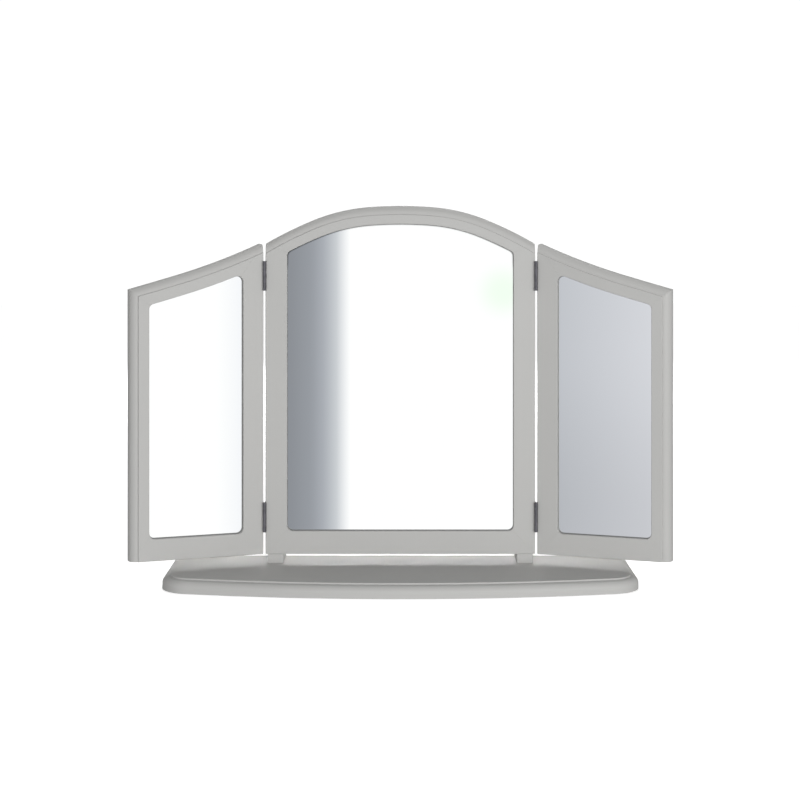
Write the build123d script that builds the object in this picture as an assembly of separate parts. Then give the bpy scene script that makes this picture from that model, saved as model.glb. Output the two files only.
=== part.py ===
from build123d import *
import os
from math import asin, atan2, cos, degrees, hypot, radians, sin, sqrt

# A free-standing dressing table mirror with three panels. The centre frame stands on two foot blocks
# on a bow-fronted base, and a wing is hinged to each side of it. Lengths are in millimetres.
# The origin is on the table under the middle of the base, X to the viewer's right, Y to the back.

# Base board
base_width = 642.0
base_depth = 194.0
base_thickness = 18.6
base_bow_radius = 1450.0
base_front_corner = 42.0
base_back_corner = 14.0
base_step = 2.3
base_ledge = 1.5
base_ovolo = 9.0

# Felt pads under the base
pad_diameter = 20.0
pad_thickness = 1.0
pad_spacing = 520.0
pad_from_back = 28.0
pad_from_front = 46.0

# Foot blocks
foot_width = 22.0
foot_height = 12.6
foot_depth = 52.0
foot_from_frame_side = 14.3
foot_arris = 1.0

# What the three frames share
frame_setback = 62.0
frame_thickness = 18.0
quirk_depth = 2.0
quirk_ledge = 1.5
frame_ovolo = 10.5
arris = 0.6
opening_corner = 8.0
hinge_side_round = 2.5

# Centre frame
centre_width = 374.6
centre_height = 483.7
centre_stile = 30.0
centre_top_rail = 25.3
centre_bottom_rail = 32.0
crown_radius = 580.0
crown_half = 45.0
haunch_radius = 251.0
haunch_half = 120.0
shoulder_radius = 535.0

# Wings
wing_width = 185.4
wing_inner_height = 432.2
wing_hinge_stile = 28.5
wing_outer_stile = 26.8
wing_top_rail = 27.5
wing_bottom_rail = 30.0
sweep_angle = 24.5
sweep_radius = 866.0
sweep_run = 120.0
tail_radius = 6000.0
wing_angle = 18.0

# Rebates, mirrors and backs
lip_thickness = 6.0
glass_rebate = 6.0
glass_thickness = 4.0
glass_clearance = 1.0
glass_play = 0.2
back_rebate = 12.0
back_thickness = 3.0
back_clearance = 0.5

# Loose tongues that key the mitres
key_width = 10.0
key_length = 8.0
key_thickness = 4.0
key_front = 5.5
key_place = 0.56
joint_clearance = 0.1

# Butt hinges
hinge_length = 41.0
hinge_low = 31.0
hinge_high = 366.0
leaf_thickness = 0.9
leaf_depth = 14.0
leaf_clearance = 0.1
pivot_proud = 2.75
pin_diameter = 3.2
pin_running_fit = 0.06
pin_tight_fit = 0.02
end_knuckle = 8.0
knuckle_gap = 0.3
knuckle_sweep_gap = 0.3
pin_chamfer = 0.3

# Screws
screw_fit = 0.05
base_screw_shank = 4.0
base_screw_head = 8.0
long_screw_length = 40.0
short_screw_length = 28.0
short_screw_behind = 38.0
hinge_screw_shank = 2.5
hinge_screw_head = 4.6
hinge_screw_length = 10.0
hinge_screw_spacing = 25.0
hinge_screw_inset = 8.5
back_screw_shank = 2.4
back_screw_head = 5.0
back_screw_head_height = 1.4
back_screw_length = 9.0
back_screw_clearance = 0.2
centre_side_screws = 3
wing_side_screws = 2
centre_end_screw_spacing = 120.0

# How near an outline's corner is to the line that it is looked for on
on_line = 0.01
# How far the cuts run along a mitre, where 1 ends at its corner
mitre_overrun = 1.4

# Worked out from the sizes above
centre_half = centre_width / 2
open_half = centre_half - centre_stile
foot_centre = centre_half - foot_from_frame_side
frame_front = base_depth / 2 - frame_setback
base_bottom = pad_thickness
base_top = base_bottom + base_thickness
frame_bottom = base_top + foot_height
moulding = quirk_ledge + frame_ovolo
hinge_gap = 2 * leaf_thickness + leaf_clearance
wing_start = centre_half + hinge_gap
wing_end = wing_start + wing_width
hinge_x = centre_half + hinge_gap / 2
hinge_y = frame_front - pivot_proud
pin_radius = pin_diameter / 2
knuckle_radius = pin_radius + pin_running_fit + leaf_thickness
hinge_axis = Axis((hinge_x, hinge_y, 0), (0, 0, 1))
glass_back = lip_thickness + glass_thickness + glass_play
half_thickness = frame_thickness / 2


# Curves of the frames' tops

def smooth_arcs(x, z, angle, legs):
    """Arcs that run on smoothly. A leg is a radius, negative when hollow, and the x where it ends."""
    arcs = []
    for radius, x_end in legs:
        centre_x = x - radius * sin(angle)
        centre_z = z - radius * cos(angle)
        end_angle = asin((x_end - centre_x) / radius)
        arcs.append((centre_x, centre_z, radius, angle, end_angle))
        angle = end_angle
        x = x_end
        z = centre_z + radius * cos(angle)
    return arcs


def height_on(arcs, x, inset):
    """Height of a top curve that is moved inwards by inset, at x."""
    for centre_x, centre_z, radius, start, end in arcs:
        moved = radius - inset
        if x <= centre_x + moved * sin(end):
            break
    return centre_z + moved * cos(asin((x - centre_x) / moved))


def top_edges(arcs, x_from, x_to, inset):
    """Arc edges of a top curve that is moved inwards by inset, from x_from to x_to."""
    edges = []
    x = x_from
    for centre_x, centre_z, radius, start, end in arcs:
        last = arcs[-1] == (centre_x, centre_z, radius, start, end)
        x_end = x_to if last else centre_x + (radius - inset) * sin(end)
        stops = [x, (x + x_end) / 2, x_end]
        edges.append(ThreePointArc(*[(stop, height_on(arcs, stop, inset)) for stop in stops]))
        x = x_end
    return edges


crown_legs = [(crown_radius, crown_half), (haunch_radius, haunch_half), (shoulder_radius, centre_half)]
arch_arcs = smooth_arcs(0, centre_height, 0, crown_legs)
sweep_legs = [(-sweep_radius, wing_start + sweep_run), (-tail_radius, wing_end)]
wing_arcs = smooth_arcs(wing_start, wing_inner_height, radians(sweep_angle), sweep_legs)


# Outlines of the frames, seen from the front, with the height measured from the frames' bottom edge

def centre_shape(half, top_inset, bottom):
    """Arched outline of the centre frame or of something inside it."""
    right = top_edges(arch_arcs, 0, half, top_inset)
    left = [mirror(edge, about=Plane.YZ) for edge in right]
    shoulder = height_on(arch_arcs, half, top_inset)
    sides = Polyline((half, shoulder), (half, bottom), (-half, bottom), (-half, shoulder))
    return make_face(right + left + sides.edges())


def wing_shape(x_from, x_to, top_inset, bottom):
    """Swept outline of the right wing, opened flat, or of something inside it."""
    top = top_edges(wing_arcs, x_from, x_to, top_inset)
    inner = height_on(wing_arcs, x_from, top_inset)
    outer = height_on(wing_arcs, x_to, top_inset)
    sides = Polyline((x_from, inner), (x_from, bottom), (x_to, bottom), (x_to, outer))
    return make_face(top + sides.edges())


def rounded(shape, x_sides, radius):
    """Round the corners of an outline that lie on its two upright sides."""
    corners = [point for point in shape.vertices() if min(abs(point.X - x) for x in x_sides) < on_line]
    return fillet(corners, radius)


def eased(shape, x_sides):
    """Round the upper corners of an outline on its hinge sides."""
    corners = [point for point in shape.vertices() if min(abs(point.X - x) for x in x_sides) < on_line]
    return fillet([point for point in corners if point.Y > centre_bottom_rail], hinge_side_round)


def centre_opening(grow):
    """Mirror opening of the centre frame, grown all round."""
    half = open_half + grow
    shape = centre_shape(half, centre_top_rail - grow, centre_bottom_rail - grow)
    return rounded(shape, (-half, half), opening_corner + grow)


wing_open_from = wing_start + wing_hinge_stile
wing_open_to = wing_end - wing_outer_stile


def wing_opening(grow):
    """Mirror opening of the right wing, grown all round."""
    x_from = wing_open_from - grow
    x_to = wing_open_to + grow
    shape = wing_shape(x_from, x_to, wing_top_rail - grow, wing_bottom_rail - grow)
    return rounded(shape, (x_from, x_to), opening_corner + grow)


def slab(shape, front, back):
    """Solid of an outline between two depths behind the frames' front face."""
    face = Pos(0, 0, frame_bottom) * (Plane.XZ.offset(-(frame_front + front)) * shape)
    return extrude(face, amount=back - front, dir=(0, 1, 0))


def block(x_from, x_to, y_from, y_to, z_from, z_to):
    """Plain block between two corners."""
    size = (x_to - x_from, y_to - y_from, z_to - z_from)
    middle = ((x_from + x_to) / 2, (y_from + y_to) / 2, (z_from + z_to) / 2)
    return Pos(*middle) * Box(*size)


# Frames

def moulded_frame(outline, raised, hinge_sides, opening, is_moulded):
    """A frame before it is parted into stiles and rails, with its quirk, ovolo, opening and rebates."""
    body = slab(outline, quirk_depth, frame_thickness)
    front_edges = body.edges().group_by(Axis.Y)[0]
    body = fillet(front_edges.filter_by(is_moulded), frame_ovolo)
    body += slab(raised, 0, quirk_depth)
    body &= slab(eased(outline, hinge_sides), 0, frame_thickness)
    body -= slab(opening(0), 0, frame_thickness)
    body -= slab(opening(glass_rebate), lip_thickness, frame_thickness)
    return body - slab(opening(back_rebate), glass_back, frame_thickness)


def along(start, end, share):
    """Point on the line from start to end, or past its end where share is over 1."""
    return tuple(a + (b - a) * share for a, b in zip(start, end))


def mitre_key(outer, inner, spare):
    """Loose tongue across a mitre, or with spare its slot."""
    angle = degrees(atan2(inner[1] - outer[1], inner[0] - outer[0]))
    x, z = along(outer, inner, key_place)
    place = Pos(x, frame_front + key_front + key_thickness / 2, frame_bottom + z)
    size = (key_width, key_thickness, key_length)
    return place * Rot(0, -angle, 0) * Box(*[side + 2 * spare for side in size])


def off_line(point, outer, inner):
    """Distance of a point on a frame from the line of a mitre."""
    run = inner[0] - outer[0]
    rise = inner[1] - outer[1]
    height = point.Z - frame_bottom
    return abs(run * (height - outer[1]) - rise * (point.X - outer[0])) / hypot(run, rise)


def softened(part, corners):
    """Take the arris off a part's front edges, but not where it meets the next part."""
    free = []
    for edge in part.edges().group_by(Axis.Y)[0]:
        if min(off_line(edge.center(), *corner) for corner in corners) > on_line:
            free.append(edge)
    return chamfer(free, arris)


def mitred_parts(frame, corners):
    """Part a frame at its four mitres into left stile, right stile, top and bottom rail, and its keys."""
    outside = [along(inner, outer, mitre_overrun) for outer, inner in corners]
    inside = [along(outer, inner, mitre_overrun) for outer, inner in corners]
    low_left, high_left, high_right, low_right = outside
    above = [(high_right[0], 2 * centre_height), (high_left[0], 2 * centre_height)]
    pieces = [
        [low_left, inside[0], inside[1], high_left],
        [high_right, inside[2], inside[3], low_right],
        [high_left, inside[1], inside[2], high_right, *above],
        [low_left, inside[0], inside[3], low_right],
    ]
    slots = [mitre_key(outer, inner, joint_clearance) for outer, inner in corners]
    parts = []
    for points in pieces:
        prism = slab(make_face(Polyline(*points, close=True)), 0, frame_thickness)
        parts.append(softened(frame & prism, corners) - slots)
    keys = [mitre_key(outer, inner, 0) for outer, inner in corners]
    return *parts, keys


centre_frame = moulded_frame(
    centre_shape(centre_half, 0, 0),
    centre_shape(centre_half, moulding, 0),
    (-centre_half, centre_half),
    centre_opening,
    lambda edge: edge.geom_type == GeomType.CIRCLE,
)
wing_frame = moulded_frame(
    wing_shape(wing_start, wing_end, 0, 0),
    wing_shape(wing_start, wing_end - moulding, moulding, 0),
    (wing_start,),
    wing_opening,
    lambda edge: edge.geom_type == GeomType.CIRCLE or edge.center().X > wing_end - 1,
)


def mitre_corners(arcs, sides, opening_sides, top_rail, bottom_rail):
    """Outer and inner corner of each mitre as x and height, from the lower left over the top."""
    lows = [((x, 0), (open_x, bottom_rail)) for x, open_x in zip(sides, opening_sides)]
    highs = []
    for x, open_x in zip(sides, opening_sides):
        highs.append(((x, height_on(arcs, abs(x), 0)), (open_x, height_on(arcs, abs(open_x), top_rail))))
    return [lows[0], highs[0], highs[1], lows[1]]


# Screws, with the middle of the head's outer face at the origin and the tip towards +Z

def countersunk_screw(head, shank, length, spare=0):
    """Flat-headed screw, or with spare its hole."""
    head_radius = head / 2 + spare
    shank_radius = shank / 2 + spare
    depth = head_radius - shank_radius
    cone_end = length - shank_radius
    tip = length + spare
    outline = Polyline(
        (0, 0), (head_radius, 0), (shank_radius, depth), (shank_radius, cone_end + spare), (0, tip), (0, 0)
    )
    return revolve(Plane.XZ * make_face(outline), Axis.Z)


def round_head_screw(head, head_height, shank, length, spare=0):
    """Round-headed screw that seats on its head's flat underside, or with spare its pilot hole."""
    head_radius = head / 2
    shank_radius = shank / 2 + spare
    cone_end = length - shank_radius
    if spare == 0:
        top = (0, -head_height)
        dome = TangentArc(top, (head_radius, 0), tangent=(1, 0))
        stem = Polyline((head_radius, 0), (shank_radius, 0), (shank_radius, cone_end), (0, length), top)
        return revolve(Plane.XZ * make_face([dome, *stem.edges()]), Axis.Z)
    hole = Polyline((0, 0), (shank_radius, 0), (shank_radius, cone_end + spare), (0, length + spare), (0, 0))
    return revolve(Plane.XZ * make_face(hole), Axis.Z)


# Base board, foot blocks and pads

def base_outline(inset):
    """Plan of the base with its bowed front, moved in by inset."""
    half = base_width / 2 - inset
    back = base_depth / 2 - inset
    bow = base_bow_radius - inset
    bow_centre = base_bow_radius - base_depth / 2
    front_side = bow_centre - sqrt(bow**2 - half**2)
    front = ThreePointArc((half, front_side), (0, bow_centre - bow), (-half, front_side))
    sides = Polyline((-half, front_side), (-half, back), (half, back), (half, front_side))
    shape = make_face([front, *sides.edges()])
    corners = shape.vertices().group_by(Axis.Y)
    shape = fillet(corners[0], base_front_corner - inset)
    return fillet(shape.vertices().group_by(Axis.Y)[-1], base_back_corner - inset)


def make_base():
    """Base board with the frames' quirk and ovolo run round its upper edge."""
    step_height = base_top - base_step
    board = extrude(Pos(0, 0, base_bottom) * base_outline(0), base_thickness - base_step)
    board = fillet(board.edges().group_by(Axis.Z)[-1], base_ovolo)
    board += extrude(Pos(0, 0, step_height) * base_outline(base_ledge + base_ovolo), base_step)
    return fillet(board.edges().group_by(Axis.Z)[-1], arris)


def make_pads():
    """Four round felt pads stuck under the base."""
    pad = Cylinder(pad_diameter / 2, pad_thickness)
    pads = []
    for x in (-pad_spacing / 2, pad_spacing / 2):
        for y in (pad_from_front - base_depth / 2, base_depth / 2 - pad_from_back):
            pads.append(Pos(x, y, pad_thickness / 2) * pad)
    return pads


def make_foot(x):
    """Foot block that carries a stile of the centre frame."""
    half = foot_width / 2
    foot = block(x - half, x + half, frame_front, frame_front + foot_depth, base_top, frame_bottom)
    return fillet(foot.edges().filter_by(Axis.Z), foot_arris)


foot_places = (-foot_centre, foot_centre)
long_screw_y = frame_front + half_thickness
short_screw_y = frame_front + short_screw_behind


def base_screws(length, y, spare=0):
    """The base's screws of one length, driven up through it, or with spare their holes."""
    screw = countersunk_screw(base_screw_head, base_screw_shank, length, spare)
    return [Pos(x, y, base_bottom) * screw for x in foot_places]


base_holes = base_screws(long_screw_length, long_screw_y, screw_fit)
base_holes += base_screws(short_screw_length, short_screw_y, screw_fit)


# Mirrors and backs

glass_grow = glass_rebate - glass_clearance
back_grow = back_rebate - back_clearance
ledge_middle = (glass_rebate + back_rebate) / 2
back_outside = glass_back + back_thickness


def side_screw_places(x, arcs, top_rail, low, count):
    """Screws evenly spread up one side of a back, as x and height."""
    high = height_on(arcs, abs(x), top_rail)
    return [(x, low + (high - low) * (turn + 1 / 2) / count) for turn in range(count)]


def centre_screw_places():
    """Where the centre back's screws stand, as x and height."""
    places = []
    for side in (-1, 1):
        x = side * (open_half + ledge_middle)
        places += side_screw_places(x, arch_arcs, centre_top_rail, centre_bottom_rail, centre_side_screws)
        x = side * centre_end_screw_spacing / 2
        places += [(x, centre_bottom_rail - ledge_middle)]
        places += [(x, height_on(arch_arcs, abs(x), centre_top_rail - ledge_middle))]
    return places


def wing_screw_places():
    """Where the right wing's back screws stand, as x and height."""
    middle = (wing_open_from + wing_open_to) / 2
    places = [(middle, wing_bottom_rail - ledge_middle)]
    places.append((middle, height_on(wing_arcs, middle, wing_top_rail - ledge_middle)))
    for x in (wing_open_from - ledge_middle, wing_open_to + ledge_middle):
        places += side_screw_places(x, wing_arcs, wing_top_rail, wing_bottom_rail, wing_side_screws)
    return places


def back_screws(places, spare=0):
    """Round-headed screws that hold a back in its rebate, or with spare their pilot holes."""
    head = (back_screw_head, back_screw_head_height)
    screw = round_head_screw(*head, back_screw_shank, back_screw_length, spare)
    seat = frame_front + back_outside
    return [Plane((x, seat, frame_bottom + z), z_dir=(0, -1, 0)) * screw for x, z in places]


def make_glass(opening):
    """Silvered glass behind the lip of a frame."""
    return slab(opening(glass_grow), lip_thickness, lip_thickness + glass_thickness)


def make_back(opening, places):
    """Back board over the glass, drilled for its screws."""
    return slab(opening(back_grow), glass_back, back_outside) - back_screws(places, back_screw_clearance)


# Hinges, modelled at the right wing with the wing opened flat

hinge_places = {"lower": hinge_low, "upper": hinge_high}
middle_knuckle = hinge_length - 2 * end_knuckle


def hinge_leaf(low, x_from, knuckles, spaces, bore_fit):
    """Leaf with its rolled knuckles. Knuckles and spaces are spans of height above the hinge's foot."""
    x_to = x_from + leaf_thickness
    plate = block(x_from, x_to, hinge_y, frame_front + leaf_depth, low, low + hinge_length)
    sweep = knuckle_radius + knuckle_sweep_gap
    for start, end in spaces:
        plate -= Pos(hinge_x, hinge_y, low + (start + end) / 2) * Cylinder(sweep, end - start)
    for start, end in knuckles:
        plate += Pos(hinge_x, hinge_y, low + (start + end) / 2) * Cylinder(knuckle_radius, end - start)
    bore = Cylinder(pin_radius + bore_fit, hinge_length + 2)
    return plate - Pos(hinge_x, hinge_y, low + hinge_length / 2) * bore


def hinge_screws(low, on_wing, spare=0):
    """The two screws of a leaf, or with spare their holes."""
    screw = countersunk_screw(hinge_screw_head, hinge_screw_shank, hinge_screw_length, spare)
    side = 1 if on_wing else -1
    face = hinge_x + side * leaf_clearance / 2
    middle = low + hinge_length / 2
    places = [middle - hinge_screw_spacing / 2, middle + hinge_screw_spacing / 2]
    y = frame_front + hinge_screw_inset
    return [Plane((face, y, z), z_dir=(side, 0, 0)) * screw for z in places]


def make_hinge(place):
    """Fixed leaf, wing leaf and pin of one hinge."""
    low = frame_bottom + hinge_places[place]
    gap = knuckle_gap / 2
    ends = [(0, end_knuckle - gap), (hinge_length - end_knuckle + gap, hinge_length)]
    middle = [(end_knuckle + gap, end_knuckle + middle_knuckle - gap)]
    middle_space = [(end_knuckle - gap, end_knuckle + middle_knuckle + gap)]
    end_spaces = [(0, end_knuckle + gap), (end_knuckle + middle_knuckle - gap, hinge_length)]
    fixed = hinge_leaf(low, centre_half, ends, middle_space, pin_tight_fit)
    moving = hinge_leaf(low, wing_start - leaf_thickness, middle, end_spaces, pin_running_fit)
    pin = Pos(hinge_x, hinge_y, low + hinge_length / 2) * Cylinder(pin_radius, hinge_length)
    fixed -= hinge_screws(low, False, screw_fit)
    moving -= hinge_screws(low, True, screw_fit)
    return fixed, moving, chamfer(pin.edges(), pin_chamfer)


# The parts of the centre frame

def other_side(shape):
    """The same thing on the left."""
    return mirror(shape, about=Plane.YZ)


nodes = {}
hinges = {place: make_hinge(place) for place in hinge_places}
lows = [frame_bottom + low for low in hinge_places.values()]
fixed_screws = [screw for low in lows for screw in hinge_screws(low, False)]
fixed_pilots = [hole for low in lows for hole in hinge_screws(low, False, screw_fit)]
moving_screws = [screw for low in lows for screw in hinge_screws(low, True)]
moving_pilots = [hole for low in lows for hole in hinge_screws(low, True, screw_fit)]

nodes["base_board"] = make_base() - base_holes
nodes["felt_pads"] = make_pads()
nodes["base_screws_long"] = base_screws(long_screw_length, long_screw_y)
nodes["base_screws_short"] = base_screws(short_screw_length, short_screw_y)
for side, x in zip(("left", "right"), foot_places):
    nodes[f"foot_block_{side}"] = make_foot(x) - base_holes

centre_places = centre_screw_places()
centre_frame -= back_screws(centre_places, screw_fit)
sides = ((-centre_half, centre_half), (-open_half, open_half))
corners = mitre_corners(arch_arcs, *sides, centre_top_rail, centre_bottom_rail)
left_stile, right_stile, top_rail, low_rail, keys = mitred_parts(centre_frame, corners)
nodes["centre_stile_left"] = left_stile - [other_side(hole) for hole in fixed_pilots]
nodes["centre_stile_right"] = right_stile - fixed_pilots
nodes["centre_top_rail"] = top_rail
nodes["centre_bottom_rail"] = low_rail - base_holes
nodes["centre_mitre_keys"] = keys
nodes["centre_mirror"] = make_glass(centre_opening)
nodes["centre_back"] = make_back(centre_opening, centre_places)
nodes["centre_back_screws"] = back_screws(centre_places)

# The parts of the wings, made opened flat on the right and folded forward to their place

wing_places = wing_screw_places()
wing_frame -= back_screws(wing_places, screw_fit)
sides = ((wing_start, wing_end), (wing_open_from, wing_open_to))
corners = mitre_corners(wing_arcs, *sides, wing_top_rail, wing_bottom_rail)
inner_stile, outer_stile, top_rail, low_rail, keys = mitred_parts(wing_frame, corners)
wing_parts = {
    "hinge_stile": inner_stile - moving_pilots,
    "outer_stile": outer_stile,
    "top_rail": top_rail,
    "bottom_rail": low_rail,
    "mitre_keys": keys,
    "mirror": make_glass(wing_opening),
    "back": make_back(wing_opening, wing_places),
    "back_screws": back_screws(wing_places),
    "hinge_screws": moving_screws,
    "lower_hinge_leaf": hinges["lower"][1],
    "upper_hinge_leaf": hinges["upper"][1],
}
standing_parts = {"hinge_screws_centre": fixed_screws}
for place, (fixed, moving, pin) in hinges.items():
    standing_parts[f"{place}_hinge_leaf_centre"] = fixed
    standing_parts[f"{place}_hinge_pin"] = pin


def changed(part, change):
    """A part, or each solid of a group, after a move."""
    return [change(solid) for solid in part] if isinstance(part, list) else change(part)


for name, part in wing_parts.items():
    folded = changed(part, lambda solid: solid.rotate(hinge_axis, -wing_angle))
    nodes[f"right_wing_{name}"] = folded
    nodes[f"left_wing_{name}"] = changed(folded, other_side)
for name, part in standing_parts.items():
    nodes[f"right_{name}"] = part
    nodes[f"left_{name}"] = changed(part, other_side)


os.makedirs("parts", exist_ok=True)
for name, part in nodes.items():
    shape = Compound(children=part) if isinstance(part, list) else part
    export_step(shape, f"parts/{name}.step")
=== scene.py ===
# Looks of a free-standing dressing table mirror: an arched centre frame on a bow-fronted base, with a
# folding wing hinged to each side. Lengths are in metres. X runs to the viewer's right, Y to the back.
import math
import random

import bmesh
import bpy
from mathutils import Matrix, Vector


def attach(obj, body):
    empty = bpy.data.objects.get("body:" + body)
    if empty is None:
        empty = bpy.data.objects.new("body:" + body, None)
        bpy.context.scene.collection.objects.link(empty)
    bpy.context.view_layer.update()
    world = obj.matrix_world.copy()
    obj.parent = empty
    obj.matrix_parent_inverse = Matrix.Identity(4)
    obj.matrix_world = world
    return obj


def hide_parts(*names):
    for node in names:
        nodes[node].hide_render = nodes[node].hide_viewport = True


bl_info = {
    "name": "Dressing Table Mirror",
    "version": (1, 0, 0),
    "blender": (4, 5, 0),
    "location": "View3D > Sidebar > Dressing Mirror",
    "description": "Finishes and fittings of a folding dressing table mirror",
    "category": "Object",
}

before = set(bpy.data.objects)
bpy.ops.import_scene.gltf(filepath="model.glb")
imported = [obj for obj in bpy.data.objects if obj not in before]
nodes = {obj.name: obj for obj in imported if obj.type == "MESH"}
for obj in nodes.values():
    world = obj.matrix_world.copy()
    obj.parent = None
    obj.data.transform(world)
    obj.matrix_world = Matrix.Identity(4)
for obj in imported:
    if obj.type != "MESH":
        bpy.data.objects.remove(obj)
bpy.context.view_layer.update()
MM = 0.001
WING_FOLD = math.radians(18)

# Screws, as diameter of the head, diameter of the shank, and length
BACK_SCREW = (5.0 * MM, 2.4 * MM, 9.0 * MM)
HINGE_SCREW = (4.6 * MM, 2.5 * MM, 10.0 * MM)
LONG_BASE_SCREW = (8.0 * MM, 4.0 * MM, 40.0 * MM)
SHORT_BASE_SCREW = (8.0 * MM, 4.0 * MM, 28.0 * MM)
DOME_HEIGHT = 1.4 * MM
HEAD_SIDES = 32

# Height at which the arch of the centre mirror begins, where the painted shade line along the lip grows
# wider
ARCH_FROM = 0.425

# Stage
FLOOR_SIDE = 16
BACKDROP_RADIUS = 7.5
WALL_PLACE = (0, -3.2, 0.2)
WALL_SIZE = (5.2, 3.4)

# Middle of the faint green glint on the wall that the centre mirror reflects, as x and z
GLINT = (0.352, 0.252)

BACKWARDS = Vector((0, 1, 0))
DOWNWARDS = Vector((0, 0, -1))
BODY_TURN = {"stand": 0.0, "left_wing": WING_FOLD, "right_wing": -WING_FOLD}


# What a user would change

class PaintSettings(bpy.types.PropertyGroup):
    colour: bpy.props.FloatVectorProperty(
        name="Paint",
        description="Colour of the painted wood",
        subtype="COLOR",
        size=3,
        min=0,
        max=1,
        default=(0.500, 0.498, 0.486),
    )
    roughness: bpy.props.FloatProperty(
        name="Roughness",
        description="How dull the satin paint is",
        subtype="FACTOR",
        min=0,
        max=1,
        default=0.42,
    )
    stipple: bpy.props.FloatProperty(
        name="Roller stipple",
        description="Height of the fine texture that the roller left",
        unit="LENGTH",
        min=0,
        default=0.018 * MM,
    )
    arris: bpy.props.FloatProperty(
        name="Soft edge",
        description="Radius by which the paint rounds the sharp edges",
        unit="LENGTH",
        min=0,
        default=0.5 * MM,
    )


class GlassSettings(bpy.types.PropertyGroup):
    silver: bpy.props.FloatVectorProperty(
        name="Silvering",
        description="Colour of the reflection",
        subtype="COLOR",
        size=3,
        min=0,
        max=1,
        default=(0.955, 0.965, 0.960),
    )
    haze: bpy.props.FloatProperty(
        name="Haze",
        description="Roughness of the cleanest glass",
        subtype="FACTOR",
        min=0,
        max=1,
        default=0.004,
    )


class FittingSettings(bpy.types.PropertyGroup):
    steel: bpy.props.FloatVectorProperty(
        name="Hinge steel",
        description="Colour of the dark bronzed hinges",
        subtype="COLOR",
        size=3,
        min=0,
        max=1,
        default=(0.245, 0.240, 0.262),
    )
    zinc: bpy.props.FloatVectorProperty(
        name="Screw zinc",
        description="Colour of the plated screws",
        subtype="COLOR",
        size=3,
        min=0,
        max=1,
        default=(0.63, 0.62, 0.58),
    )
    recess_width: bpy.props.FloatProperty(
        name="Recess width",
        description="Width of one arm of a cross recess, as a share of the head's diameter",
        subtype="FACTOR",
        min=0.05,
        max=0.4,
        default=0.17,
    )
    recess_length: bpy.props.FloatProperty(
        name="Recess length",
        description="Length across a cross recess, as a share of the head's diameter",
        subtype="FACTOR",
        min=0.2,
        max=0.9,
        default=0.62,
    )


class StageSettings(bpy.types.PropertyGroup):
    camera_back: bpy.props.FloatProperty(
        name="Camera distance",
        description="Distance of the camera in front of the middle of the base",
        unit="LENGTH",
        default=2.176,
    )
    camera_height: bpy.props.FloatProperty(
        name="Camera height",
        description="Height of the camera over the table",
        unit="LENGTH",
        default=0.4962,
    )
    lens: bpy.props.FloatProperty(
        name="Lens",
        description="Focal length in millimetres on a 36 mm sensor",
        default=71.64,
    )
    ambient: bpy.props.FloatProperty(
        name="Room light",
        description="Strength of the even light from all sides",
        default=0.365,
    )
    front: bpy.props.FloatProperty(
        name="Front light",
        description="Power of the wide soft light in front, in watts",
        default=78.0,
    )
    behind: bpy.props.FloatProperty(
        name="Back light",
        description="Power of the low soft light behind, in watts",
        default=45.0,
    )
    above: bpy.props.FloatProperty(
        name="Top light",
        description="Power of the narrow light on the crest, in watts",
        default=0.55,
    )
    low: bpy.props.FloatProperty(
        name="Low light",
        description="Power of the narrow light that reaches in under the frame, in watts",
        default=0.165,
    )


class MirrorSettings(bpy.types.PropertyGroup):
    paint: bpy.props.PointerProperty(name="Paint", description="Painted wood", type=PaintSettings)
    glass: bpy.props.PointerProperty(name="Glass", description="Mirror glass", type=GlassSettings)
    fittings: bpy.props.PointerProperty(
        name="Fittings",
        description="Hinges and screws",
        type=FittingSettings,
    )
    stage: bpy.props.PointerProperty(name="Stage", description="Camera and lights", type=StageSettings)


def settings():
    """The settings of the scene that is open."""
    return bpy.context.scene.dressing_mirror


# Shader building

class Socket:
    """An output of a node, so that sums of outputs read as expressions."""

    def __init__(self, finish, source):
        self.finish = finish
        self.source = source

    def maths(self, operation, first, second):
        return self.finish.node("ShaderNodeMath", {"operation": operation}, {0: first, 1: second})

    def __add__(self, other):
        return self.maths("ADD", self, other)

    __radd__ = __add__

    def __sub__(self, other):
        return self.maths("SUBTRACT", self, other)

    def __rsub__(self, other):
        return self.maths("SUBTRACT", other, self)

    def __mul__(self, other):
        return self.maths("MULTIPLY", self, other)

    def __pow__(self, other):
        return self.maths("POWER", self, other)


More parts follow.
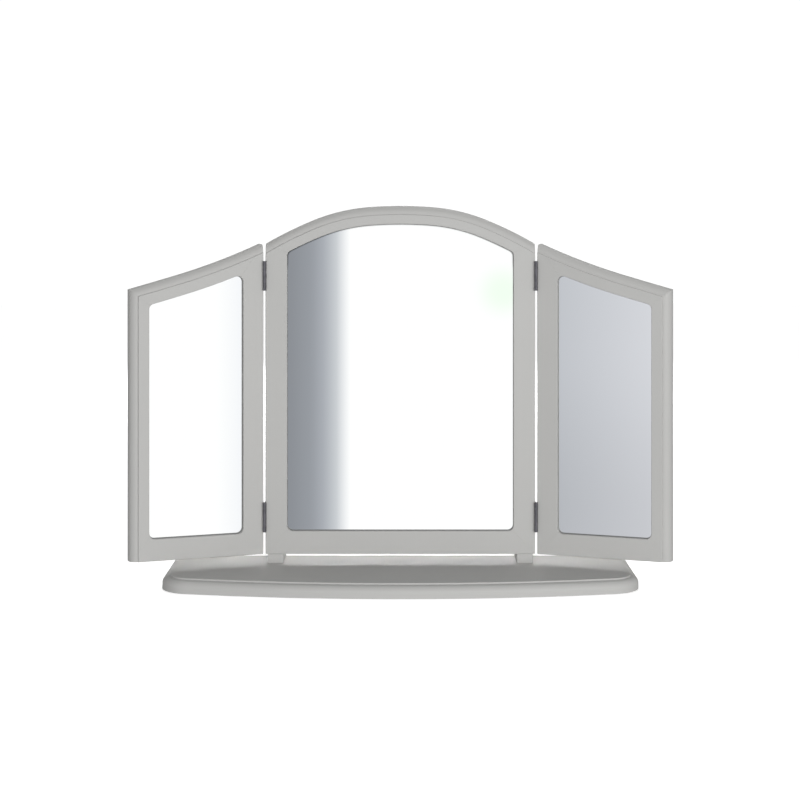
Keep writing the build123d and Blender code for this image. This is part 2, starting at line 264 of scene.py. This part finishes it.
class Finish:
    """A material under construction, with its Principled shader."""

    def __init__(self, name):
        self.material = bpy.data.materials.new(name)
        self.material.use_nodes = True
        self.tree = self.material.node_tree
        self.shader = self.tree.nodes["Principled BSDF"]

    def node(self, kind, options=(), inputs=(), output=0):
        """Add a node: its options first, then the values or links of its sockets."""
        made = self.tree.nodes.new(kind)
        for name, value in dict(options).items():
            if name == "stops":
                self.set_stops(made.color_ramp, value)
            else:
                setattr(made, name, value)
        for name, value in dict(inputs).items():
            self.feed(made.inputs[name], value)
        return Socket(self, made.outputs[output])

    def set_stops(self, ramp, stops):
        while len(ramp.elements) < len(stops):
            ramp.elements.new(1)
        for element, (place, colour) in zip(ramp.elements, stops):
            element.position = place
            element.color = (*colour, 1)

    def feed(self, socket, value):
        if isinstance(value, Socket):
            self.tree.links.new(value.source, socket)
        elif hasattr(socket.default_value, "__len__") and len(value) == 3 and len(socket.default_value) == 4:
            socket.default_value = (*value, 1)
        else:
            socket.default_value = value

    def set(self, **inputs):
        """Give the Principled shader values or links, with socket names in lower case."""
        for name, value in inputs.items():
            self.feed(self.shader.inputs[name.replace("_", " ").title().replace("Ior", "IOR")], value)

    def place(self, stretch=(1, 1, 1), turn=(0, 0, 0)):
        """The object's own coordinates, stretched and turned."""
        own = self.node("ShaderNodeTexCoord", output="Object")
        return self.node("ShaderNodeMapping", {}, {"Vector": own, "Scale": stretch, "Rotation": turn})

    def noise(self, where, scale, detail=3.0, roughness=0.5):
        sockets = {"Vector": where, "Scale": scale, "Detail": detail, "Roughness": roughness}
        return self.node("ShaderNodeTexNoise", {}, sockets)

    def between(self, value, low, high, to_low=0.0, to_high=1.0):
        """Map a stretch of a value onto another, held at its ends."""
        sockets = {"Value": value, "From Min": low, "From Max": high, "To Min": to_low, "To Max": to_high}
        return self.node("ShaderNodeMapRange", {"interpolation_type": "SMOOTHSTEP"}, sockets)

    def mix(self, share, first, second):
        """Mix two colours."""
        sockets = {"Factor": share, 6: first, 7: second}
        return self.node("ShaderNodeMix", {"data_type": "RGBA"}, sockets, output=2)

    def bump(self, height, distance, strength=1.0, normal=None):
        sockets = {"Height": height, "Distance": distance, "Strength": strength}
        if normal:
            sockets["Normal"] = normal
        return self.node("ShaderNodeBump", {}, sockets)

    def soft_edges(self, radius):
        return self.node("ShaderNodeBevel", {"samples": 6}, {"Radius": radius})

    def edge_wear(self, rounded, low, high, most):
        """Wear where the softened normal leans away from the face's own."""
        own = self.node("ShaderNodeNewGeometry", output="Normal")
        sockets = {0: rounded, 1: own}
        lean = self.node("ShaderNodeVectorMath", {"operation": "DOT_PRODUCT"}, sockets, output="Value")
        return self.between(1 - lean, low, high, 0.0, most)

    def openness(self, distance, samples=6):
        """How open the surface is within a distance: 1 on a free face, less beside a wall."""
        options = {"samples": samples}
        return self.node("ShaderNodeAmbientOcclusion", options, {"Distance": distance}, output="AO")


def shade(colour, factor):
    """A colour made lighter or darker."""
    return tuple(min(1.0, part * factor) for part in colour)


def paint_finish():
    """Warm pale grey satin paint: roller stipple, soft edges, faint rub marks and painted shade in the
    quirks.
    """
    paint = settings().paint
    colour = tuple(paint.colour)
    finish = Finish("satin_grey_paint")
    own = finish.place()
    clouds = finish.noise(own, 7.0, 4.0)
    flecks = finish.noise(own, 420.0, 2.0)
    stipple = finish.noise(own, 900.0, 2.0, 0.6)
    strokes = finish.noise(finish.place((30, 30, 1.4)), 12.0, 5.0, 0.6)
    tone = finish.between(clouds * 0.8 + strokes * 0.2, 0.3, 0.7)
    body = finish.mix(tone, shade(colour, 0.985), shade(colour, 1.012))
    body = finish.mix(finish.between(flecks, 0.62, 0.8, 0.0, 0.35), body, shade(colour, 1.03))
    rounded = finish.soft_edges(paint.arris)
    worn = finish.edge_wear(rounded, 0.02, 0.2, 0.5)
    body = finish.mix(worn, body, shade(colour, 1.05))
    # Painted shade: the paint is darkened in the quirks and corners, where the mouldings shade themselves.
    painted_crevice_shade = finish.openness(4 * MM)
    body = finish.mix(finish.between(painted_crevice_shade, 0.25, 0.8, 0.35, 0.0), body, shade(colour, 0.80))
    finish.set(
        base_color=body,
        roughness=paint.roughness - 0.05 + clouds * 0.07 + strokes * 0.04 - worn * 0.06,
        normal=finish.bump(stipple * 0.7 + flecks * 0.3, paint.stipple, 0.8, rounded),
        specular_ior_level=0.42,
    )
    return finish.material


def mirror_finish():
    """Silvered float glass: a clean reflection with the faintest haze of wiping marks, a few dust specks,
    and a painted dark shade line along the lip of the frame, wider under the centre arch.
    """
    glass = settings().glass
    finish = Finish("silvered_glass")
    own = finish.place()
    wipes = finish.noise(finish.place((3, 1, 14), (0, 0.5, 0)), 2.2, 6.0, 0.6)
    specks = finish.node("ShaderNodeTexVoronoi", {}, {"Vector": own, "Scale": 160.0})
    dust = finish.between(specks, 0.0, 0.06, 1.0, 0.0) * finish.between(finish.noise(own, 9.0), 0.5, 0.75)
    waves = finish.noise(own, 5.0, 1.0)
    height = finish.node("ShaderNodeSeparateXYZ", {}, {0: own}, output="Z")
    in_arch = finish.between(height, ARCH_FROM, ARCH_FROM + 15 * MM)
    # Painted shade: a dark line on the glass along the lip of the frame, wider under the centre arch.
    lip_painted_shade = finish.between(finish.openness(1.6 * MM, 8), 0.45, 0.95, 0.75, 0.0)
    arch_painted_shade = finish.between(finish.openness(4.5 * MM, 8), 0.55, 0.80, 0.5, 0.0) * in_arch
    shine = finish.mix(dust * 0.05, tuple(glass.silver), (0.80, 0.80, 0.80))
    finish.set(
        base_color=finish.mix(lip_painted_shade + arch_painted_shade, shine, (0.10, 0.10, 0.10)),
        metallic=1.0,
        roughness=glass.haze + finish.between(wipes, 0.55, 0.9, 0.0, 0.012) + dust * 0.03,
        normal=finish.bump(waves, 0.002 * MM, 0.3),
    )
    return finish.material


def hardboard_finish():
    """Brown pressed fibreboard with its matted fibres and darker flecks."""
    finish = Finish("hardboard")
    own = finish.place()
    fibres = finish.noise(finish.place((1, 1, 3.0), (0, 0.4, 0)), 380.0, 5.0, 0.65)
    crossed = finish.noise(finish.place((3.2, 1, 1), (0, -0.5, 0)), 340.0, 5.0, 0.65)
    clouds = finish.noise(own, 14.0, 4.0)
    flecks = finish.node("ShaderNodeTexVoronoi", {}, {"Vector": finish.place((1, 1, 2.5)), "Scale": 520.0})
    matted = fibres * 0.5 + crossed * 0.5
    felted = finish.mix(finish.between(matted, 0.35, 0.68), (0.17, 0.105, 0.060), (0.35, 0.24, 0.15))
    felted = finish.mix(finish.between(clouds, 0.35, 0.7, 0.0, 0.45), felted, (0.29, 0.19, 0.115))
    felted = finish.mix(finish.between(flecks, 0.0, 0.12, 0.5, 0.0), felted, (0.09, 0.055, 0.035))
    finish.set(
        base_color=felted,
        roughness=0.72 + fibres * 0.2,
        normal=finish.bump(matted, 0.09 * MM, 0.7, finish.soft_edges(0.3 * MM)),
        specular_ior_level=0.3,
    )
    return finish.material


def hinge_finish():
    """Dark bronzed steel, drawn along the leaf, with the edges and knuckles worn brighter, which also serves
    as a painted highlight.
    """
    steel = tuple(settings().fittings.steel)
    finish = Finish("bronzed_steel")
    own = finish.place()
    drawn = finish.noise(finish.place((60, 60, 1.2)), 40.0, 4.0, 0.6)
    patches = finish.noise(own, 130.0, 3.0)
    rounded = finish.soft_edges(0.25 * MM)
    # Worn brighter edges, partly real wear and partly a painted highlight on the knuckles.
    rubbed_and_highlit = finish.edge_wear(rounded, 0.01, 0.15, 0.7)
    body = finish.mix(finish.between(patches, 0.35, 0.65), shade(steel, 0.85), shade(steel, 1.12))
    finish.set(
        base_color=finish.mix(rubbed_and_highlit, body, (0.46, 0.44, 0.42)),
        metallic=1.0,
        roughness=0.30 + patches * 0.14 + drawn * 0.08 - rubbed_and_highlit * 0.08,
        normal=finish.bump(drawn * 0.6 + patches * 0.4, 0.012 * MM, 0.6, rounded),
    )
    return finish.material


def zinc_finish():
    """Bright zinc plate with a faint spangle and painted shade in the recess."""
    zinc = tuple(settings().fittings.zinc)
    finish = Finish("zinc_plate")
    own = finish.place()
    spangle = finish.node("ShaderNodeTexVoronoi", {}, {"Vector": own, "Scale": 1400.0})
    clouds = finish.noise(own, 700.0, 4.0)
    # Painted shade: the colour darkens inside the cross recess.
    recess = finish.openness(0.8 * MM)
    body = finish.mix(finish.between(clouds, 0.35, 0.7), shade(zinc, 0.86), shade(zinc, 1.08))
    finish.set(
        base_color=finish.mix(finish.between(recess, 0.2, 0.9, 0.7, 0.0), body, (0.22, 0.21, 0.20)),
        metallic=1.0,
        roughness=0.24 + clouds * 0.16 + spangle * 0.10,
        normal=finish.bump(spangle * 0.5 + clouds * 0.5, 0.008 * MM, 0.5, finish.soft_edges(0.12 * MM)),
    )
    return finish.material


def felt_finish():
    """Dense dark grey felt with matted hairs."""
    finish = Finish("pressed_felt")
    hairs = finish.noise(finish.place((1, 2.4, 1), (0, 0, 0.6)), 1500.0, 5.0, 0.7)
    crossed = finish.noise(finish.place((2.6, 1, 1), (0, 0, -0.5)), 1300.0, 5.0, 0.7)
    matted = hairs * 0.5 + crossed * 0.5
    tone = finish.between(matted, 0.35, 0.68)
    finish.set(
        base_color=finish.mix(tone, (0.030, 0.030, 0.032), (0.115, 0.112, 0.108)),
        roughness=0.92 + hairs * 0.06,
        normal=finish.bump(matted, 0.12 * MM, 0.9),
        sheen_weight=0.4,
        sheen_roughness=0.5,
        specular_ior_level=0.15,
    )
    return finish.material


def dress(material, matches):
    """Give a material to every CAD node whose name passes the test."""
    found = [piece for name, piece in nodes.items() if matches(name)]
    if not found:
        raise RuntimeError(f"no node takes the finish {material.name}")
    for piece in found:
        piece.data.materials.clear()
        piece.data.materials.append(material)


# Modelling

def deselect():
    bpy.ops.object.select_all(action="DESELECT")


def activate(*pieces):
    """Select pieces and nothing else, with the first one active."""
    deselect()
    for piece in pieces:
        piece.select_set(True)
    bpy.context.view_layer.objects.active = pieces[0]


def apply_transform():
    bpy.ops.object.transform_apply(location=True, rotation=True, scale=True)


def pick(piece, kind, wanted):
    """In edit mode, select the faces or edges that pass the test, and nothing else."""
    bpy.ops.mesh.select_mode(type=kind)
    bpy.ops.mesh.select_all(action="DESELECT")
    mesh = bmesh.from_edit_mesh(piece.data)
    for item in mesh.faces if kind == "FACE" else mesh.edges:
        item.select = wanted(item)
    mesh.select_flush_mode()
    bmesh.update_edit_mesh(piece.data)


def cross_cutter(head, depth):
    """Tapered cross that cuts a screw head's recess. The head's outer face is at Z = 0."""
    fittings = settings().fittings
    long_arm = head * fittings.recess_length
    short_arm = head * fittings.recess_width
    deselect()
    bpy.ops.mesh.primitive_cube_add(size=1, location=(0, 0, 0))
    cutter = bpy.context.object
    bpy.ops.object.mode_set(mode="EDIT")
    bpy.ops.mesh.select_all(action="SELECT")
    bpy.ops.transform.resize(value=(long_arm, short_arm, 2 * depth))
    pick(cutter, "FACE", lambda face: face.normal.z < -0.5)
    bpy.ops.transform.resize(value=(0.45, 0.7, 1), center_override=(0, 0, -depth))
    bpy.ops.mesh.select_all(action="SELECT")
    bpy.ops.mesh.duplicate()
    bpy.ops.transform.rotate(value=math.pi / 2, orient_axis="Z", center_override=(0, 0, 0))
    bpy.ops.object.mode_set(mode="OBJECT")
    return cutter


def finish_screw(screw, head, depth):
    """Cut the cross recess, tidy the mesh and smooth what is round."""
    cutter = cross_cutter(head, depth)
    activate(screw)
    cut = screw.modifiers.new("recess", "BOOLEAN")
    cut.object = cutter
    cut.operation = "DIFFERENCE"
    cut.solver = "EXACT"
    cut.use_self = True
    bpy.ops.object.modifier_apply(modifier=cut.name)
    bpy.data.objects.remove(cutter)
    bpy.ops.object.mode_set(mode="EDIT")
    bpy.ops.mesh.select_all(action="SELECT")
    bpy.ops.mesh.remove_doubles(threshold=0.002 * MM)
    bpy.ops.mesh.normals_make_consistent(inside=False)
    bpy.ops.object.mode_set(mode="OBJECT")
    bpy.ops.object.shade_smooth_by_angle(angle=math.radians(35))


def shank_and_tip(screw, underside, radius, length):
    """Draw the shank and its point down from the face under the head, which is selected."""
    point = radius
    bpy.ops.mesh.extrude_region_move(TRANSFORM_OT_translate={"value": (0, 0, underside - length + point)})
    bpy.ops.mesh.extrude_region_move(TRANSFORM_OT_translate={"value": (0, 0, -point)})
    bpy.ops.transform.resize(value=(0.08, 0.08, 1), center_override=(0, 0, -length))


def head_disc(head, height, middle):
    """Start a screw with the disc of its head, in edit mode."""
    deselect()
    disc = {"vertices": HEAD_SIDES, "radius": head / 2, "depth": height}
    bpy.ops.mesh.primitive_cylinder_add(location=(0, 0, middle), **disc)
    apply_transform()
    bpy.ops.object.mode_set(mode="EDIT")
    return bpy.context.object


def dome_screw(head, shank, length, height):
    """Round-headed cross-recess screw. It seats at Z = 0 and its tip points down."""
    screw = head_disc(head, height, height / 2)
    pick(screw, "EDGE", lambda edge: min(vertex.co.z for vertex in edge.verts) > height * 0.9)
    bpy.ops.mesh.bevel(offset=height * 0.92, segments=6, profile=0.5)
    pick(screw, "FACE", lambda face: face.normal.z < -0.9)
    bpy.ops.mesh.inset(thickness=(head - shank) / 2)
    shank_and_tip(screw, 0.0, shank / 2, length)
    bpy.ops.object.mode_set(mode="OBJECT")
    activate(screw)
    screw.location = (0, 0, -height)
    apply_transform()
    finish_screw(screw, head, height * 0.75)
    screw.location = (0, 0, height)
    apply_transform()
    return screw


def flat_screw(head, shank, length):
    """Countersunk cross-recess screw. The head's outer face is at Z = 0 and its tip points down."""
    rim = 0.2 * MM
    screw = head_disc(head, rim, -rim / 2)
    pick(screw, "EDGE", lambda edge: min(vertex.co.z for vertex in edge.verts) > -rim * 0.1)
    bpy.ops.mesh.bevel(offset=rim * 0.5, segments=2, profile=0.5)
    pick(screw, "FACE", lambda face: face.normal.z < -0.9)
    cone = (head - shank) / 2
    bpy.ops.mesh.extrude_region_move(TRANSFORM_OT_translate={"value": (0, 0, rim - cone)})
    bpy.ops.transform.resize(value=(shank / head, shank / head, 1), center_override=(0, 0, -cone))
    shank_and_tip(screw, cone, shank / 2, length)
    bpy.ops.object.mode_set(mode="OBJECT")
    finish_screw(screw, head, head * 0.28)
    return screw


def loose_solids(node):
    """The corners of each separate solid of a CAD node, from a merged copy of its mesh."""
    copy = nodes[node].copy()
    copy.data = nodes[node].data.copy()
    copy.name = f"sorting_{node}"
    bpy.context.scene.collection.objects.link(copy)
    activate(copy)
    bpy.ops.object.mode_set(mode="EDIT")
    bpy.ops.mesh.select_all(action="SELECT")
    bpy.ops.mesh.remove_doubles(threshold=0.001 * MM)
    bpy.ops.mesh.separate(type="LOOSE")
    bpy.ops.object.mode_set(mode="OBJECT")
    solids = []
    for part in list(bpy.context.selected_objects):
        solids.append([vertex.co.copy() for vertex in part.data.vertices])
        bpy.data.objects.remove(part)
    return solids


def head_place(corners, outward):
    """Middle of the outermost ring of a screw whose head faces outward."""
    furthest = max(corner.dot(outward) for corner in corners)
    ring = [corner for corner in corners if furthest - corner.dot(outward) < 0.01 * MM]
    return sum(ring, Vector()) / len(ring)


def set_screws(pattern, node, body, outward, sink, name):
    """Set a copy of a screw at each solid of a node, each turned its own way, and join them to one piece."""
    turns = random.Random(len(node))
    facing = outward.to_track_quat("Z", "Y").to_matrix().to_4x4()
    copies = []
    for corners in loose_solids(node):
        copy = pattern.copy()
        copy.data = pattern.data.copy()
        bpy.context.scene.collection.objects.link(copy)
        turn = Matrix.Rotation(turns.uniform(0, math.pi / 2), 4, "Z")
        place = Matrix.Translation(head_place(corners, outward) - outward * sink)
        copy.matrix_world = place @ facing @ turn
        copies.append(copy)
    activate(*copies)
    apply_transform()
    bpy.ops.object.join()
    piece = bpy.context.object
    piece.name = name
    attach(piece, body)
    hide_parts(node)
    return piece


def turned(direction, angle):
    """A direction turned about the upright axis."""
    return Matrix.Rotation(angle, 3, "Z") @ direction


# Operators

class PaintFrames(bpy.types.Operator):
    """Paint the frames, the base and its foot blocks"""

    bl_idname = "dressing_mirror.paint_frames"
    bl_label = "Paint the frames"

    def execute(self, context):
        wood = ("_stile", "_rail", "_keys", "base_board", "foot_block")
        dress(paint_finish(), lambda name: any(word in name for word in wood))
        return {"FINISHED"}


class SilverMirrors(bpy.types.Operator):
    """Silver the three mirrors"""

    bl_idname = "dressing_mirror.silver_mirrors"
    bl_label = "Silver the mirrors"

    def execute(self, context):
        dress(mirror_finish(), lambda name: name.endswith("_mirror"))
        return {"FINISHED"}


class FinishBacks(bpy.types.Operator):
    """Give the back boards their pressed fibres"""

    bl_idname = "dressing_mirror.finish_backs"
    bl_label = "Finish the backs"

    def execute(self, context):
        dress(hardboard_finish(), lambda name: name.endswith("_back"))
        return {"FINISHED"}


class FinishHinges(bpy.types.Operator):
    """Bronze the hinge leaves and pins"""

    bl_idname = "dressing_mirror.finish_hinges"
    bl_label = "Bronze the hinges"

    def execute(self, context):
        dress(hinge_finish(), lambda name: "_leaf" in name or name.endswith("_pin"))
        return {"FINISHED"}


class FinishPads(bpy.types.Operator):
    """Give the pads their matted felt"""

    bl_idname = "dressing_mirror.finish_pads"
    bl_label = "Finish the felt pads"

    def execute(self, context):
        dress(felt_finish(), lambda name: name == "felt_pads")
        return {"FINISHED"}


class DriveScrews(bpy.types.Operator):
    """Model the cross-recess screws of the backs, hinges and base"""

    bl_idname = "dressing_mirror.drive_screws"
    bl_label = "Drive the screws"

    def execute(self, context):
        zinc = zinc_finish()
        steel = bpy.data.materials["bronzed_steel"]
        dome = dome_screw(*BACK_SCREW, DOME_HEIGHT)
        small = flat_screw(*HINGE_SCREW)
        long_screw = flat_screw(*LONG_BASE_SCREW)
        short_screw = flat_screw(*SHORT_BASE_SCREW)
        made = []
        for body, node in (
            ("stand", "centre_back_screws"),
            ("left_wing", "left_wing_back_screws"),
            ("right_wing", "right_wing_back_screws"),
        ):
            outward = turned(BACKWARDS, BODY_TURN[body])
            made.append(set_screws(dome, node, body, outward, DOME_HEIGHT, f"{node}_heads"))
        for side, sign in (("left", -1), ("right", 1)):
            fixed = Vector((sign, 0, 0))
            moving = turned(Vector((-sign, 0, 0)), BODY_TURN[f"{side}_wing"])
            node = f"{side}_hinge_screws_centre"
            made.append(set_screws(small, node, "stand", fixed, 0.0, f"{node}_crossed"))
            node = f"{side}_wing_hinge_screws"
            made.append(set_screws(small, node, f"{side}_wing", moving, 0.0, f"{node}_crossed"))
        for screw, node in ((long_screw, "base_screws_long"), (short_screw, "base_screws_short")):
            made.append(set_screws(screw, node, "stand", DOWNWARDS, 0.0, f"{node}_crossed"))
        for piece in made:
            piece.data.materials.clear()
            piece.data.materials.append(steel if "hinge" in piece.name else zinc)
        for pattern in (dome, small, long_screw, short_screw):
            bpy.data.objects.remove(pattern)
        return {"FINISHED"}


def glow(name, build):
    """Material of a light card: only emission."""
    finish = Finish(name)
    finish.set(base_color=(0, 0, 0), specular_ior_level=0.0, roughness=1.0, emission_strength=1.0)
    finish.set(emission_color=build(finish))
    return finish.material


def seen_only(piece, camera=False, glossy=False):
    """Limit what sees a stage object."""
    piece.visible_camera = camera
    piece.visible_glossy = glossy
    piece.visible_diffuse = False
    piece.visible_transmission = False
    piece.visible_shadow = False


def wall_colours(finish):
    """What the mirrors see in front of the object: white, with a blue-grey shade to the left."""
    own = finish.node("ShaderNodeTexCoord", output="Object")
    across = finish.node("ShaderNodeSeparateXYZ", {}, {0: own})
    upright = finish.node("ShaderNodeSeparateXYZ", {}, {0: own}, output="Z")
    share = finish.node("ShaderNodeMapRange", {}, {"Value": across, "From Min": -2.0, "From Max": 2.0})
    stops = [
        (0.040, (0.40, 0.42, 0.45)),
        (0.085, (0.565, 0.580, 0.620)),
        (0.185, (0.700, 0.708, 0.750)),
        (0.300, (0.500, 0.520, 0.560)),
        (0.405, (0.275, 0.288, 0.315)),
        (0.424, (0.328, 0.345, 0.378)),
        (0.4347, (0.425, 0.445, 0.485)),
        (0.445, (0.612, 0.635, 0.665)),
        (0.4518, (0.880, 0.890, 0.910)),
        (0.457, (1.05, 1.05, 1.05)),
        (0.890, (1.05, 1.05, 1.05)),
        (0.920, (0.95, 0.96, 0.99)),
    ]
    colours = finish.node("ShaderNodeValToRGB", {"stops": stops}, {"Fac": share})
    low_left = finish.between(upright, 0.05, -0.6) * finish.between(across, -1.0, -1.2)
    colours = finish.mix(low_left * 0.13, colours, (0, 0, 0))
    glint = ((across - GLINT[0]) ** 2 + (upright - GLINT[1]) ** 2) ** 0.5
    colours = finish.mix(finish.between(glint, 0.015, 0.115, 0.16, 0.0), colours, (0.30, 0.98, 0.25))
    ends = finish.between(finish.node("ShaderNodeMath", {"operation": "ABSOLUTE"}, {0: across}), 2.15, 2.58)
    lower = finish.between(upright, -0.95, -1.45)
    upper = finish.between(upright, 1.2, 1.85)
    fade = 1 - (1 - ends) * (1 - lower) * (1 - upper)
    return finish.mix(fade, colours, (settings().stage.ambient,) * 3)


def add_area(name, place, aim, size, power, spread=180):
    """Soft rectangular light that points at a place. Its spread is in degrees."""
    deselect()
    bpy.ops.object.light_add(type="AREA", location=place)
    light = bpy.context.object
    light.name = name
    light.rotation_euler = (Vector(aim) - Vector(place)).to_track_quat("-Z", "Y").to_euler()
    light.data.shape = "RECTANGLE"
    light.data.size, light.data.size_y = size
    light.data.energy = power
    light.data.spread = math.radians(spread)
    light.visible_glossy = False
    light.visible_camera = False


class SetStage(bpy.types.Operator):
    """Set the pale floor, the soft lights and the camera"""

    bl_idname = "dressing_mirror.set_stage"
    bl_label = "Set the stage"

    def execute(self, context):
        stage = settings().stage
        scene = context.scene
        scene.view_settings.view_transform = "Standard"
        scene.world = bpy.data.worlds.new("room")
        scene.world.use_nodes = True
        room = scene.world.node_tree.nodes["Background"]
        room.inputs["Color"].default_value = (1, 1, 1, 1)
        room.inputs["Strength"].default_value = stage.ambient

        deselect()
        bpy.ops.mesh.primitive_plane_add(size=FLOOR_SIDE, location=(0, 0, 0))
        floor = bpy.context.object
        floor.name = "pale_floor"
        pale = Finish("pale_floor")
        grain = pale.noise(pale.place(), 30.0, 3.0)
        pale.set(
            base_color=pale.mix(grain, (0.80, 0.80, 0.80), (0.83, 0.83, 0.83)),
            roughness=0.8 + grain * 0.1,
            emission_color=(1, 1, 1),
            emission_strength=0.70,
        )
        floor.data.materials.append(pale.material)
        seen_only(floor, camera=True)

        bpy.ops.mesh.primitive_uv_sphere_add(radius=BACKDROP_RADIUS, segments=48, ring_count=24)
        dome = bpy.context.object
        dome.name = "white_backdrop"
        dome.data.materials.append(glow("white_backdrop", lambda finish: (1.05, 1.05, 1.05)))
        seen_only(dome, camera=True)

        bpy.ops.mesh.primitive_plane_add(size=1, location=WALL_PLACE, rotation=(math.pi / 2, 0, 0))
        wall = bpy.context.object
        wall.name = "reflected_wall"
        wall.scale = (*WALL_SIZE, 1)
        apply_transform()
        wall.data.materials.append(glow("reflected_wall", wall_colours))
        seen_only(wall, glossy=True)

        add_area("front_light", (0.95, -3.0, 0.35), (0, 0, 0.35), (4.0, 1.1), stage.front)
        add_area("back_light", (0.0, 3.0, 1.22), (0, 0, 0.05), (1.6, 0.4), stage.behind)
        add_area("top_light", (0, 1.1, 2.0), (0, 0.04, 0.50), (0.9, 0.2), stage.above, 24)
        add_area("low_light", (0, 0.80, 0.335), (0, 0.03, 0.02), (0.64, 0.06), stage.low, 16)

        camera = bpy.data.objects.new("camera", bpy.data.cameras.new("camera"))
        scene.collection.objects.link(camera)
        camera.location = (0, -stage.camera_back, stage.camera_height)
        camera.rotation_euler = (math.pi / 2, 0, 0)
        camera.data.sensor_width = 36
        camera.data.lens = stage.lens
        camera.data.shift_x = -0.0004
        camera.data.shift_y = -0.225
        camera.data.clip_end = 40
        scene.camera = camera
        return {"FINISHED"}


STEPS = (PaintFrames, SilverMirrors, FinishBacks, FinishHinges, FinishPads, DriveScrews, SetStage)


class MirrorPanel(bpy.types.Panel):
    """Steps and settings of the dressing table mirror"""

    bl_idname = "VIEW3D_PT_dressing_mirror"
    bl_label = "Dressing Table Mirror"
    bl_space_type = "VIEW_3D"
    bl_region_type = "UI"
    bl_category = "Dressing Mirror"

    def draw(self, context):
        own = context.scene.dressing_mirror
        for group in (own.paint, own.glass, own.fittings, own.stage):
            box = self.layout.box()
            for name in group.__annotations__:
                box.prop(group, name)
        for step in STEPS:
            self.layout.operator(step.bl_idname)


CLASSES = (PaintSettings, GlassSettings, FittingSettings, StageSettings, MirrorSettings, *STEPS, MirrorPanel)


def register():
    for part in CLASSES:
        bpy.utils.register_class(part)
    bpy.types.Scene.dressing_mirror = bpy.props.PointerProperty(type=MirrorSettings)


def unregister():
    del bpy.types.Scene.dressing_mirror
    for part in reversed(CLASSES):
        bpy.utils.unregister_class(part)


def main():
    register()
    for step in STEPS:
        getattr(bpy.ops.dressing_mirror, step.bl_idname.split(".")[1])()


if __name__ == "__main__":
    main()
